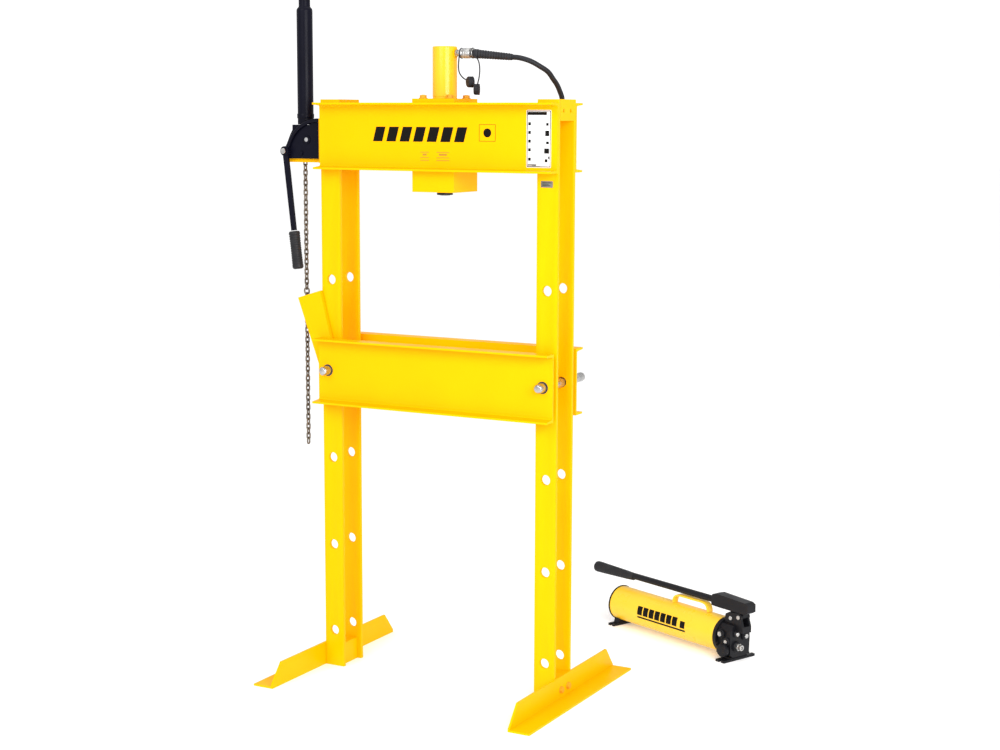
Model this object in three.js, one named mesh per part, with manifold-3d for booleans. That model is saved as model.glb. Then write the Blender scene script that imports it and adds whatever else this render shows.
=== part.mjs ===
// Hydraulic H-frame shop press with a pin-adjusted bed, a lever chain hoist for the bed and a floor-standing hand pump.
// Millimetres, +Z up, +Y towards the back, +X to the right when facing the press. The floor is z = 0.
import * as THREE from "three";
import { mergeVertices } from "three/addons/utils/BufferGeometryUtils.js";
import Module from "manifold-3d";

const wasm = await Module();
wasm.setup();

// ---- driving dimensions ----
const GAP = 0.3; // clearance between faces that touch on the real press
const HEIGHT = 1800; // uprights
const WIDTH = 820; // over the uprights
const BAR_W = 68; // upright bar, across
const BAR_T = 12.7; // upright bar, thickness
const DEPTH = 116; // front face to back face of an upright
const HOLE_R = 15.5; // bed pin holes
const HOLE_Z0 = 117; // lowest pin hole
const HOLE_PITCH = 281.8;
const CH_H = 203; // channels of the beam and the bed
const CH_B = 45; // channel flange width
const CH_TW = 6; // channel web
const CH_TF = 9; // channel flange
const BEAM_Z0 = 1587;
const BED_BACK = 75.5; // back of a bed web from the middle plane
const PIN_R = 14;
const PIN_Z = HOLE_Z0 + 3 * HOLE_PITCH - 0.9;
const BED_HOLE_Z = PIN_Z - 0.9;
const BED_Z0 = BED_HOLE_Z - CH_H / 2;
const PIN_Y0 = -115;
const PIN_Y1 = 183;
const FOOT_L = 712; // angle-iron feet
const FOOT_W = 70;
const FOOT_H = 73;
const FOOT_T = 6.4;
const SPACER_H = 62;
const MOUNT_SQ = 144; // cylinder clamp plate and block
const MOUNT_Z0 = 1524;
const CYL_R = 37;
const CYL_Z0 = 1540;
const CYL_Z1 = 1957;
const BORE_R = 28;
const RAM_R = 22;
const PORT_Z = 1937;
const CHAIN_X = -507;
const TUBE_X = -504;
const SHELF_Z = 1616.5; // top of the hoist shelf
const ARM_TILT = 17.3; // degrees, lift arms lean outwards
const PUMP = { x: 190, y: 862, turn: Math.atan2(-0.3915, 0.92) };

const XO = WIDTH / 2; // outer faces of the uprights
const XI = XO - BAR_W; // inner faces
const XM = XO - BAR_W / 2; // pin line
const YF = DEPTH / 2;
const rad = Math.PI / 180;

// ---- materials ----
const mat = (color, roughness, metalness) => new THREE.MeshStandardMaterial({ color, roughness, metalness });
const YELLOW = () => mat(0xf7d300, 0.38, 0.1);
const BLACK = () => mat(0x1a1b22, 0.35, 0.3);
const RUBBER = () => mat(0x202228, 0.75, 0);
const ZINC = () => mat(0xc9cbcd, 0.3, 0.9);
const STEEL = () => mat(0x8c8e90, 0.35, 0.9);
const DARK = () => mat(0x2b2c2f, 0.5, 0.6);

// ---- helpers ----
const group = new THREE.Group();
const press = new THREE.Group();
group.add(press);

// A closed geometry whose faces point out, with only its positions left.
function closed(geometry) {
  let g = geometry.index ? geometry.toNonIndexed() : geometry;
  g = new THREE.BufferGeometry().setAttribute("position", g.getAttribute("position"));
  g = mergeVertices(g, 1e-4);
  const p = g.getAttribute("position");
  const idx = Array.from(g.index.array);
  const kept = [];
  let vol = 0;
  const a = new THREE.Vector3(), b = new THREE.Vector3(), c = new THREE.Vector3();
  for (let i = 0; i < idx.length; i += 3) {
    const [i0, i1, i2] = [idx[i], idx[i + 1], idx[i + 2]];
    if (i0 === i1 || i1 === i2 || i0 === i2) continue;
    a.fromBufferAttribute(p, i0); b.fromBufferAttribute(p, i1); c.fromBufferAttribute(p, i2);
    vol += a.dot(b.clone().cross(c)) / 6;
    kept.push(i0, i1, i2);
  }
  if (vol < 0) for (let i = 0; i < kept.length; i += 3) [kept[i + 1], kept[i + 2]] = [kept[i + 2], kept[i + 1]];
  g.setIndex(kept);
  return g;
}
function solid(g) {
  const c = closed(g);
  return new wasm.Manifold(new wasm.Mesh({ numProp: 3, vertProperties: new Float32Array(c.getAttribute("position").array), triVerts: new Uint32Array(c.index.array) }));
}
function geometryOf(m) {
  const mesh = m.getMesh();
  const n = mesh.vertProperties.length / mesh.numProp;
  const pos = new Float32Array(n * 3);
  for (let i = 0; i < n; i++) for (let k = 0; k < 3; k++) pos[i * 3 + k] = mesh.vertProperties[i * mesh.numProp + k];
  return new THREE.BufferGeometry().setAttribute("position", new THREE.BufferAttribute(pos, 3)).setIndex(Array.from(mesh.triVerts));
}
const cut = (g, ...tools) => geometryOf(tools.reduce((m, t) => m.subtract(solid(t)), solid(g)));
const join = (g, ...more) => geometryOf(more.reduce((m, t) => m.add(solid(t)), solid(g)));

function put(name, geometry, material, parent = press, position = [0, 0, 0]) {
  const g = closed(geometry);
  g.computeVertexNormals();
  const mesh = new THREE.Mesh(g, material);
  mesh.name = name;
  mesh.position.set(...position);
  parent.add(mesh);
  return mesh;
}
const block = (x0, x1, y0, y1, z0, z1) => new THREE.BoxGeometry(x1 - x0, y1 - y0, z1 - z0).translate((x0 + x1) / 2, (y0 + y1) / 2, (z0 + z1) / 2);
function outline(points, holes = []) {
  const s = new THREE.Shape(points.map(([x, y]) => new THREE.Vector2(x, y)));
  for (const [x, y, r] of holes) s.holes.push(new THREE.Path().absarc(x, y, r, 0, Math.PI * 2, true));
  return s;
}
const rect = (x0, x1, y0, y1) => [[x0, y0], [x1, y0], [x1, y1], [x0, y1]];
// An outline in x and z, extruded along y from y0 to y1.
const alongY = (shape, y0, y1, curveSegments = 8) =>
  new THREE.ExtrudeGeometry(shape, { depth: y1 - y0, bevelEnabled: false, curveSegments }).rotateX(Math.PI / 2).translate(0, y1, 0);
// An outline in y and z, extruded along x from x0 to x1.
const alongX = (shape, x0, x1, curveSegments = 8) =>
  new THREE.ExtrudeGeometry(shape, { depth: x1 - x0, bevelEnabled: false, curveSegments })
    .applyMatrix4(new THREE.Matrix4().makeBasis(new THREE.Vector3(0, 1, 0), new THREE.Vector3(0, 0, 1), new THREE.Vector3(1, 0, 0)))
    .translate(x0, 0, 0);
// An outline in x and y, extruded along z from z0 to z1.
const alongZ = (shape, z0, z1, curveSegments = 8) =>
  new THREE.ExtrudeGeometry(shape, { depth: z1 - z0, bevelEnabled: false, curveSegments }).translate(0, 0, z0);
// A profile of [radius, height] turned about z; it starts and ends on the axis, or closes on itself.
const turned = (profile, seg = 24) => new THREE.LatheGeometry(profile.map(([r, z]) => new THREE.Vector2(r, z)), seg).rotateX(Math.PI / 2);
const bar = (r, z0, z1, seg = 20) => new THREE.CylinderGeometry(r, r, z1 - z0, seg).rotateX(Math.PI / 2).translate(0, 0, (z0 + z1) / 2);
const hex = (r, z0, z1) => new THREE.CylinderGeometry(r, r, z1 - z0, 6).rotateX(Math.PI / 2).translate(0, 0, (z0 + z1) / 2);
const toX = (g) => g.rotateY(Math.PI / 2); // z to x
const toY = (g) => g.rotateX(-Math.PI / 2); // z to y
// A round tube along a smooth curve through the points.
function tubeAlong(points, r, sides, steps) {
  const curve = new THREE.CatmullRomCurve3(points.map((p) => new THREE.Vector3(...p)), false, "centripetal");
  const s = new THREE.Shape();
  for (let i = 0; i < sides; i++) {
    const a = (i / sides) * Math.PI * 2;
    if (i) s.lineTo(r * Math.cos(a), r * Math.sin(a)); else s.moveTo(r, 0);
  }
  return new THREE.ExtrudeGeometry(s, { steps, bevelEnabled: false, extrudePath: curve });
}

// ---- uprights: a front and a back bar on each side, with spacers between them at the top and the foot ----
const barOutline = (x0) => outline(rect(x0, x0 + BAR_W, 0, HEIGHT), [0, 1, 2, 3, 4].map((k) => [x0 + BAR_W / 2, HOLE_Z0 + k * HOLE_PITCH, HOLE_R]));
for (const [side, x0] of [["left", -XO], ["right", XI]]) {
  put(`upright_${side}_front_bar`, alongY(barOutline(x0), -YF, -YF + BAR_T), YELLOW());
  put(`upright_${side}_rear_bar`, alongY(barOutline(x0), YF - BAR_T, YF), YELLOW());
}
const YS = YF - BAR_T - GAP; // half length of a spacer
for (const [side, s] of [["left", -1], ["right", 1]]) {
  const [x0, x1] = s < 0 ? [-XO, -XI] : [XI, XO];
  put(`top_spacer_${side}`, alongX(outline(rect(-YS, YS, HEIGHT - SPACER_H, HEIGHT), [[-23, HEIGHT - 33, 5.5], [23, HEIGHT - 33, 5.5]]), x0, x1, 6), YELLOW());
  const [f0, f1] = s < 0 ? [-XO, -XO + 54] : [XO - 54, XO];
  put(`foot_spacer_${side}`, block(f0, f1, -YS, YS, 0, 70), YELLOW());
}

// ---- feet: an angle iron outside each upright, with sloping ends on the upright leg ----
for (const [side, s] of [["left", -1], ["right", 1]]) {
  const L = FOOT_L / 2;
  const leg = alongX(outline([[-L, 0], [L, 0], [L, FOOT_T + 3], [L - 52, FOOT_H], [-L + 52, FOOT_H], [-L, FOOT_T + 3]], [[-24, 33, 5], [24, 33, 5]]), 0, FOOT_T, 6);
  const toe = block(0, FOOT_W, -L, L, 0, FOOT_T);
  const g = join(leg, toe);
  if (s < 0) g.rotateZ(Math.PI);
  put(`foot_${side}`, g, YELLOW(), press, [s * (XO + GAP), 0, 0]);
}

// ---- channels: web towards the uprights, flanges outwards ----
// Outline in y and z of a channel whose web's back is at y = back, flanges towards +y.
const channelOutline = (back, z0) => [
  [back, z0], [back + CH_B, z0], [back + CH_B, z0 + CH_TF - 3], [back + CH_TW + 3, z0 + CH_TF], [back + CH_TW, z0 + CH_TF + 3],
  [back + CH_TW, z0 + CH_H - CH_TF - 3], [back + CH_TW + 3, z0 + CH_H - CH_TF], [back + CH_B, z0 + CH_H - CH_TF + 3], [back + CH_B, z0 + CH_H], [back, z0 + CH_H],
];
const channel = (back, z0) => alongX(outline(channelOutline(back, z0)), -XO, XO);
put("beam_channel_front", channel(YF + GAP, BEAM_Z0).rotateZ(Math.PI), YELLOW());
put("beam_channel_rear", channel(YF + GAP, BEAM_Z0), YELLOW());

const webHole = (x) => toY(bar(HOLE_R, BED_BACK - 4, BED_BACK + CH_TW + 4, 16)).translate(x, 0, BED_HOLE_Z);
const bedChannel = () => cut(channel(BED_BACK, BED_Z0), webHole(-XM), webHole(XM));
put("bed_channel_front", bedChannel().rotateZ(Math.PI), YELLOW());
put("bed_channel_rear", bedChannel(), YELLOW());
for (const [side, s] of [["left", -1], ["right", 1]]) {
  const x = s * (XI - 16);
  put(`bed_tie_${side}`, block(x - 6, x + 6, -BED_BACK + GAP, BED_BACK - GAP, BED_Z0 + 14, BED_Z0 + CH_H - 32), YELLOW());
  put(`bed_pin_${side}`, toY(turned([[0, PIN_Y0], [9.5, PIN_Y0], [PIN_R, PIN_Y0 + 5], [PIN_R, PIN_Y1 - 2], [PIN_R - 2, PIN_Y1], [0, PIN_Y1]], 20)), ZINC(), press, [s * XM, 0, PIN_Z]);
}

// ---- cylinder clamp: plate on the beam, block under it, four through bolts ----
const M = MOUNT_SQ / 2;
const BOLT_X = 46;
const BOLT_Y = 50;
const BEAM_Z1 = BEAM_Z0 + CH_H;
const boltHoles = [[-BOLT_X, -BOLT_Y, 6.4], [BOLT_X, -BOLT_Y, 6.4], [-BOLT_X, BOLT_Y, 6.4], [BOLT_X, BOLT_Y, 6.4]];
put("cylinder_clamp_plate", alongZ(outline(rect(-M, M, -M, M), [[0, 0, CYL_R + 1], ...boltHoles]), BEAM_Z1 + GAP, BEAM_Z1 + 12), YELLOW());
{
  const body = alongZ(outline(rect(-M, M, -M, M), boltHoles), MOUNT_Z0, BEAM_Z0 - GAP, 8);
  const seat = turned([[0, MOUNT_Z0 - 1], [RAM_R + 0.8, MOUNT_Z0 - 1], [RAM_R + 0.8, CYL_Z0 - GAP], [CYL_R + 0.7, CYL_Z0 - GAP], [CYL_R + 0.7, BEAM_Z0 + 1], [0, BEAM_Z0 + 1]], 28);
  put("cylinder_mount_block", cut(body, seat), YELLOW());
}
for (const [k, [x, y]] of boltHoles.entries()) {
  const shank = bar(5.6, MOUNT_Z0 + 2, BEAM_Z1 + 12.5, 10);
  const head = hex(9.5, BEAM_Z1 + 12 + GAP, BEAM_Z1 + 24);
  put(`clamp_bolt_${k + 1}`, join(shank, head), ZINC(), press, [x, y, 0]);
}

// ---- cylinder: barrel closed at the top, gland screwed in at the bottom, ram with its piston inside ----
const GLAND_Z1 = CYL_Z0 + 36;
{
  const port = toX(bar(5, 20, CYL_R + 5, 12)).translate(0, 0, PORT_Z);
  const barrel = turned([[BORE_R, CYL_Z0], [CYL_R, CYL_Z0], [CYL_R, CYL_Z1 - 3], [CYL_R - 3, CYL_Z1], [0, CYL_Z1], [0, CYL_Z1 - 26], [BORE_R - 6, CYL_Z1 - 26], [BORE_R - 6, CYL_Z1 - 32], [BORE_R, CYL_Z1 - 32], [BORE_R, CYL_Z0]], 28);
  put("cylinder_barrel", cut(barrel, port), YELLOW());
  put("cylinder_gland", turned([[RAM_R + 0.8, CYL_Z0], [BORE_R - 0.5, CYL_Z0], [BORE_R - 0.5, GLAND_Z1], [RAM_R + 0.8, GLAND_Z1], [RAM_R + 0.8, CYL_Z0]], 24), STEEL());
}
const PISTON_Z1 = CYL_Z1 - 34;
const PISTON_Z0 = PISTON_Z1 - 24;
put("ram_rod", turned([[0, 1523.3], [RAM_R - 2, 1523.3], [RAM_R, 1525], [RAM_R, PISTON_Z0 - 60], [17, PISTON_Z0 - 60], [17, PISTON_Z0], [BORE_R - 0.6, PISTON_Z0], [BORE_R - 0.6, PISTON_Z1], [0, PISTON_Z1]], 24), STEEL());
put("ram_saddle", turned([[0, 1512.5], [16, 1512.5], [17, 1513.5], [RAM_R + 1, 1513.5], [RAM_R + 2.5, 1515], [RAM_R + 2.5, 1521], [RAM_R + 1, 1523], [0, 1523]], 24), DARK());
{
  // Return spring round the ram, between the gland and the piston.
  const z0 = GLAND_Z1 + 2.2, z1 = PISTON_Z0 - 2.2, turns = 7, per = 9;
  const pts = [];
  for (let i = 0; i <= turns * per; i++) {
    const a = (i / per) * Math.PI * 2;
    pts.push([25 * Math.cos(a), 25 * Math.sin(a), z0 + ((z1 - z0) * i) / (turns * per)]);
  }
  put("return_spring", tubeAlong(pts, 1.6, 5, turns * per), STEEL());
}

// ---- oil port: nipple, coupler body, screw collar, hose guard ----
put("port_nipple", toX(turned([[4, CYL_R + 1.2], [9, CYL_R + 1.2], [9, 51.7], [4, 51.7], [4, CYL_R + 1.2]], 16)), ZINC(), press, [0, 0, PORT_Z]);
put("coupler_body", toX(turned([[4, 52], [12, 52], [14.5, 54], [14.5, 63], [12, 65], [12, 90], [14, 92], [14, 99.7], [4, 99.7], [4, 52]], 16)), ZINC(), press, [0, 0, PORT_Z - 1]);
put("coupler_collar", toX(turned([[12.7, 66], [15, 66], [15.8, 67.5], [15.8, 88], [15, 89.5], [12.7, 89.5], [12.7, 66]], 18)), ZINC(), press, [0, 0, PORT_Z - 1]);
const HOSE = [
  [248.6, 0, 1920.9], [268, 0, 1918.6], [283.1, 8, 1911.4], [307.4, 25, 1895.7], [323.8, 45, 1880.1], [329.9, 66, 1860.1], [333.3, 86, 1843],
  [334.5, 104, 1822.7], [334.4, 118, 1803.8], [328.2, 128, 1769.9], [320.6, 134, 1725.5], [312.6, 138, 1651], [306, 140, 1531.1], [305, 140, 1380],
  [305, 140, 1250], [305, 140, 1120], [305, 140, 990], [305, 140, 860], [305, 140, 730], [305, 140, 600], [305, 140, 450], [305, 140, 317],
];
const HOSE_R = 7.75;
put("hose_guard", toX(turned([[0, 0], [14.2, 0], [14.2, 14], [13.4, 16], [12.8, 70], [10.4, 128], [0, 128]], 16)).rotateY(5.2 * rad), RUBBER(), press, [101.5, 0, PORT_Z - 2.6]);
HOSE[0] = [101.5 + 128.4 * Math.cos(5.2 * rad), 0, PORT_Z - 2.6 - 128.4 * Math.sin(5.2 * rad)];
HOSE[1] = [101.5 + 150 * Math.cos(5.2 * rad), 0, PORT_Z - 2.6 - 150 * Math.sin(5.2 * rad)];
put("hose", tubeAlong(HOSE, HOSE_R, 8, 52), RUBBER());
put("hose_end_coupler", turned([[0, 316.5], [9, 316.5], [9, 292], [13.5, 290], [13.5, 268], [11, 266], [11, 250], [5, 250], [5, 262], [0, 262]], 14), ZINC(), press, [305, 140, 0]);
// Dust caps, each moulded in one piece with its strap.
function dustCap(name, strap, c, tilt) {
  const cap = toX(turned([[0, -9], [15.5, -9], [17, -7.5], [17, 7], [15, 9], [0, 9]], 14)).rotateZ(tilt).translate(...c);
  put(name, join(cap, tubeAlong(strap, 2.2, 5, 18)), RUBBER());
}
dustCap("dust_cap_left", [[61, -13.5, 1924], [57.5, -14, 1911], [56, -15, 1897], [58.5, -16, 1880], [69, -17, 1866], [81, -17, 1858], [92, -17, 1853]], [96, -17, 1851], 0.9);
dustCap("dust_cap_right", [[122, -17, 1920], [129, -19, 1905], [132, -22, 1885], [130, -24, 1862], [126, -25, 1845], [125, -25, 1836]], [123, -25, 1829], 0.4);

// ---- lift arms on the left bed pin, with a rod across their tops for the hoist's hook ----
const ARM = new THREE.Group();
ARM.position.set(-XM, 0, PIN_Z);
ARM.rotation.y = -ARM_TILT * rad;
press.add(ARM);
{
  const n = 8, pts = [];
  for (let i = 0; i <= n; i++) {
    const a = Math.PI + (i / n) * Math.PI;
    pts.push([31 * Math.cos(a), 31 * Math.sin(a)]);
  }
  pts.push([43, 246], [-44, 246]);
  const shape = outline(pts, [[0, 0, PIN_R + 0.9]]);
  put("lift_arm_front", alongY(shape, -73.2, -60.5), YELLOW(), ARM);
  put("lift_arm_rear", alongY(shape, 60.5, 73.2), YELLOW(), ARM);
  put("lift_arm_rod", toY(bar(10, -60.2, 60.2, 16)), ZINC(), ARM, [-29, 0, 222]);
}
const rodAt = new THREE.Vector3(-29, 0, 222).applyEuler(ARM.rotation).add(ARM.position);

// ---- hoist: bracket with shelf, ratchet housing, chain wheel, lever, chain store tube, chain and hook ----
{
  const plate = block(-XO - 8.3, -XO - GAP, -56, 56, SHELF_Z - 11.5, 1742);
  const shelf = alongZ(outline(rect(-574, -XO - 4, -20, 44), [[CHAIN_X, 0, 13]]), SHELF_Z - 11.5, SHELF_Z);
  put("hoist_bracket", join(plate, shelf), YELLOW());
}
const HZ = SHELF_Z + GAP;
const HX1 = -XO - 8.3 - GAP;
const WHEEL_X = CHAIN_X + 28;
const WHEEL_Z = 1676;
{
  const body = alongY(outline([[HX1, HZ], [HX1, 1738], [-450, 1735], [-466, 1729], [-470, 1722], [-533, 1722], [-533, 1706], [-541, 1693], [-551, 1671], [-558, 1657], [-566, 1650], [-568, HZ]]), -32, 32);
  const wheelWell = toY(bar(31, -16, 16, 28)).translate(WHEEL_X, 0, WHEEL_Z);
  const passage = bar(12.6, HZ - 5, 1745, 16).translate(CHAIN_X, 0, 0);
  const axleBore = toY(bar(7, -40, 40, 16)).translate(WHEEL_X, 0, WHEEL_Z);
  const well = cut(body, wheelWell, passage, axleBore);
  put("hoist_housing", well, BLACK());
  // Chain wheel with its axle; the rim is waisted to the chain.
  put("chain_wheel", toY(turned([[0, -36], [6.5, -36], [6.5, -14], [22, -14], [22, -11], [18, -8.5], [18, 8.5], [22, 11], [22, 14], [6.5, 14], [6.5, 36], [0, 36]], 18)), STEEL(), press, [WHEEL_X, 0, WHEEL_Z]);
}
{
  const z0 = 1722.5;
  put("chain_tube", turned([[21.5, z0], [25, z0], [25, 2079], [18, 2086], [18, 2119], [15, 2123], [0, 2123], [0, 2117], [14, 2117], [14, 2082], [21.5, 2076], [21.5, z0]], 20), BLACK(), press, [TUBE_X, 0, 0]);
}
const PIVOT = [-553, -44, 1640];
put("hoist_pivot_pin", toY(turned([[0, -59], [9, -59], [9, -54], [6, -53.5], [6, -32.6], [0, -32.6]], 14)), ZINC(), press, [PIVOT[0], 0, PIVOT[2]]);
{
  // Lever: boss on the pivot, flat bar down to the grip, leaning in towards the press.
  const boss = toY(bar(15, -50, -34, 20));
  const shank = alongY(outline([[-9, -6], [9, -6], [8, -250], [-8, -250]]), -46.5, -37.5).rotateY(-6.6 * rad);
  const lever = cut(join(boss, shank), toY(bar(6.5, -60, -30, 16)));
  put("hoist_lever", lever, BLACK(), press, [PIVOT[0], 0, PIVOT[2]]);
  const grip = turned([[0, -372], [15, -372], [18, -368], [17, -300], [18, -256], [14, -252], [0, -252]], 18).translate(0, -42, 0).rotateY(-6.6 * rad);
  put("hoist_lever_grip", grip, RUBBER(), press, [PIVOT[0], 0, PIVOT[2]]);
}
put("hoist_chain", block(CHAIN_X - 8.2, CHAIN_X + 8.2, -8.2, 8.2, 688, 1990), STEEL());
{
  // Hook: its eye end stands beside the chain, its point goes under the rod.
  const rx = rodAt.x, rz = rodAt.z;
  // Bowl wider than the rod, its tip kept under the path that the rod takes when the arms swing in.
  const pts = [[CHAIN_X + 8.6, rz + 24], [CHAIN_X + 8.6, rz + 8]];
  for (let i = 0; i <= 8; i++) {
    const a = Math.PI + (i / 8) * 1.32 * Math.PI / 2;
    pts.push([rx + 27 * Math.cos(a), rz + 6 + 25 * Math.sin(a)]);
  }
  pts.push([rx + 22.5, rz - 9], [rx + 22, rz - 4.6], [rx + 18, rz - 4.4], [rx + 12.6, rz - 6.6]);
  for (let i = 0; i <= 7; i++) {
    const a = -0.88 - (i / 7) * (Math.PI - 0.88);
    pts.push([rx + 17 * Math.cos(a), rz + 6 + 17 * Math.sin(a)]);
  }
  pts.push([rx - 16, rz + 24]);
  put("lift_hook", alongY(outline(pts), -5, 5), STEEL());
}

// ---- hand pump, in its own frame: x along the reservoir from the back end to the head, z up ----
const pump = new THREE.Group();
pump.position.set(PUMP.x, PUMP.y, 0);
pump.rotation.z = PUMP.turn;
press.add(pump);
const RES_R = 58, AX_Z = 71, R0 = 34, R1 = 535;
put("pump_reservoir", toX(turned([[RES_R - 4, R0 + 5.3], [RES_R, R0 + 5.3], [RES_R, R1 - GAP], [RES_R - 4, R1 - GAP], [RES_R - 4, R0 + 5.3]], 32)), YELLOW(), pump, [0, 0, AX_Z]);
put("pump_rear_cap", toX(turned([[0, R0 - 6], [40, R0 - 4], [RES_R + 1, R0 - 1], [RES_R + 3, R0 + 1], [RES_R + 3, R0 + 5], [RES_R - 4.5, R0 + 5], [RES_R - 4.5, R0 + 12], [0, R0 + 12]], 32)), BLACK(), pump, [0, 0, AX_Z]);
{
  const flange = toX(bar(RES_R, R1, R1 + 14, 32)).translate(0, 0, AX_Z);
  const core = alongX(outline([[-44, 20], [-30, 12], [30, 12], [44, 20], [46, 70], [44, 100], [30, 118], [-30, 118], [-44, 100], [-46, 70]]), R1 + 7, 604);
  const lug = [[552, 110], [634, 116], [630, 128], [625.8, 140.7], [627.5, 147], [625.8, 153.3], [621.3, 157.8], [615, 159.5], [570, 156], [556, 148]];
  const lugF = alongY(outline(lug), -20, -12.4);
  const lugB = alongY(outline(lug), 12.4, 20);
  const shoulder = block(590, 634, -20, 20, 96, 117);
  const plungerBore = bar(8.4, 60, 130, 20).translate(578, 0, 0);
  const pivotBore = toY(bar(5.4, -30, 30, 14)).translate(615, 0, 147);
  const knobBore = toY(bar(5.5, -50, -20, 14)).translate(584, 0, 38);
  put("pump_head", cut(join(flange, core, shoulder, lugF, lugB), plungerBore, pivotBore, knobBore), BLACK(), pump);
}
put("pump_pivot_pin", toY(turned([[0, -24], [7, -24], [7, -20.4], [5, -20.4], [5, 24], [0, 24]], 14)), ZINC(), pump, [615, 0, 147]);
put("pump_plunger", turned([[0, 62], [8, 62], [8, 126], [6, 132], [0, 134]], 18), ZINC(), pump, [578, 0, 0]);
{
  // Handle: a casting over the pivot with a tongue between the lugs, and a bar back to the grip.
  const top = alongY(outline([[490, 162.5], [524, 161], [640, 160.6], [652, 168], [652, 192], [640, 199], [512, 205], [494, 200], [488, 188]]), -19, 19);
  const tongue = alongY(outline([[570, 165], [627, 165], [626, 145], [615, 136.5], [602, 137], [590, 139.5], [568, 139.5]]), -11.6, 11.6);
  const round = toX(bar(11, 101, 500, 14)).translate(0, 0, 177);
  const bore = toY(bar(5.5, -30, 30, 14)).translate(615, 0, 147);
  put("pump_handle", cut(join(top, tongue, round), bore), BLACK(), pump);
  put("pump_handle_grip", toX(turned([[0, -94], [15, -94], [19, -88], [18.5, -30], [13.5, 90], [12.5, 100.5], [0, 100.5]], 18)), RUBBER(), pump, [0, 0, 174.5]);
}
put("pump_release_knob", toY(turned([[0, -68], [20, -68], [22, -65], [22, -52], [20, -49], [5, -49], [5, -22], [0, -22]], 20)), BLACK(), pump, [584, 0, 38]);
{
  // Carry strap standing on the reservoir, one closed arch.
  const band = alongY(outline([[300, 131], [304, 144], [322, 157], [346, 161], [436, 161], [454, 155], [464, 142], [468, 131], [455, 131], [450, 139], [436, 150], [346, 150], [324, 146], [314, 138], [311, 131]]), -12, 12);
  put("pump_carry_strap", cut(band, toX(bar(RES_R + GAP, 290, 480, 64)).translate(0, 0, AX_Z)), YELLOW(), pump);
}
function pumpFoot(name, x0, x1, half) {
  // Saddle under the body with two forked ends standing on the floor.
  const w = (x1 - x0) / 2, xm = (x0 + x1) / 2;
  const base = alongZ(outline([[x0, -half], [xm - 5, -half], [xm - 5, -half + 18], [xm + 5, -half + 18], [xm + 5, -half], [x1, -half], [x1, half], [xm + 5, half], [xm + 5, half - 18], [xm - 5, half - 18], [xm - 5, half], [x0, half]]), 0, 8);
  const saddle = alongX(outline([[-40, 4], [40, 4], [34, 26], [-34, 26]]), x0 + 3, x1 - 3);
  const under = name === "pump_foot_head" ? block(x0 - 10, x1 + 10, -60, 60, 11.7, 60) : toX(bar(RES_R + GAP, x0 - 40, x1 + 40, 64)).translate(0, 0, AX_Z);
  put(name, cut(join(base, saddle), under), BLACK(), pump);
}
pumpFoot("pump_foot_head", 566, 604, 72);
pumpFoot("pump_foot_rear", 38, 66, 62);

// ---- origin: centre of the footprint of the whole set on the floor, without the free hose ----
const box = new THREE.Box3();
group.updateMatrixWorld(true);
group.traverse((o) => {
  if (o.isMesh && !["hose", "hose_end_coupler", "hose_guard"].includes(o.name)) box.expandByObject(o, true);
});
const shift = [-(box.min.x + box.max.x) / 2, -(box.min.y + box.max.y) / 2, 0];
press.position.set(...shift);

export default group;
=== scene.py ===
"""Looks for the hydraulic shop press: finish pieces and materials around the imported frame."""
import math

import bpy
import bmesh
from mathutils import Matrix, Vector


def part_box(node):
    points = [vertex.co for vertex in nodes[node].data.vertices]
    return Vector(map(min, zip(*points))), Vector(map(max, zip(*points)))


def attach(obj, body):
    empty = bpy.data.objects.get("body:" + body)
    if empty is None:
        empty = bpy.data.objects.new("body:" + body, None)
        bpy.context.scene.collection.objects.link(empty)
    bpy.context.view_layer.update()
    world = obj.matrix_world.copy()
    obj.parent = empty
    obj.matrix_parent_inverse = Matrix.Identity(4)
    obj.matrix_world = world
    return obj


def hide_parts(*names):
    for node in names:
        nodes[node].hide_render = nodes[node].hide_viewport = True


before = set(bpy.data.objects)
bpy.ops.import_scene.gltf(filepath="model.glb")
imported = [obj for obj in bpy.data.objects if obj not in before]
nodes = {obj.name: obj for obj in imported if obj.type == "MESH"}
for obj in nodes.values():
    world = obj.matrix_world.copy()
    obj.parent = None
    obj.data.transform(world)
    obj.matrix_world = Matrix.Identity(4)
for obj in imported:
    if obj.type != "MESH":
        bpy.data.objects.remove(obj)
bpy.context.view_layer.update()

# ---------------------------------------------------------------- coordinates
# Press coordinates: millimetres, X across, -Y to the front, Z up, press centred on X = Y = 0.
_lo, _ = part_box("upright_left_front_bar")
OX, OY = _lo[0] + 0.410, _lo[1] + 0.058
rad = math.radians


def P(x, y, z):
    return Vector((x / 1000 + OX, y / 1000 + OY, z / 1000))


I4 = Matrix.Identity(4)
AXX = Matrix.Rotation(rad(90), 4, "Y")  # z to x
AXY = Matrix.Rotation(rad(-90), 4, "X")  # z to y
T = lambda x, y, z: Matrix.Translation((x, y, z))
PUMP = T(190, 862, 0) @ Matrix.Rotation(math.atan2(-0.3915, 0.92), 4, "Z")

# ---------------------------------------------------------------- camera
YAW, PITCH, ROLL = rad(28.1), rad(8.19), rad(0.21)
fw = Vector((-math.sin(YAW) * math.cos(PITCH), math.cos(YAW) * math.cos(PITCH), -math.sin(PITCH)))
rt = Vector((math.cos(YAW), math.sin(YAW), 0))
up = rt.cross(fw)
r2 = rt * math.cos(ROLL) + up * math.sin(ROLL)
u2 = up * math.cos(ROLL) - rt * math.sin(ROLL)
cam = bpy.data.cameras.new("camera")
cam.lens, cam.sensor_width, cam.clip_end = 65.08, 36.0, 100
camo = bpy.data.objects.new("camera", cam)
bpy.context.scene.collection.objects.link(camo)
m = Matrix((r2, u2, -fw)).transposed().to_4x4()
m.translation = P(2738.98, -4771.29, 1754.73)
camo.matrix_world = m
bpy.context.scene.camera = camo


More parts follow.
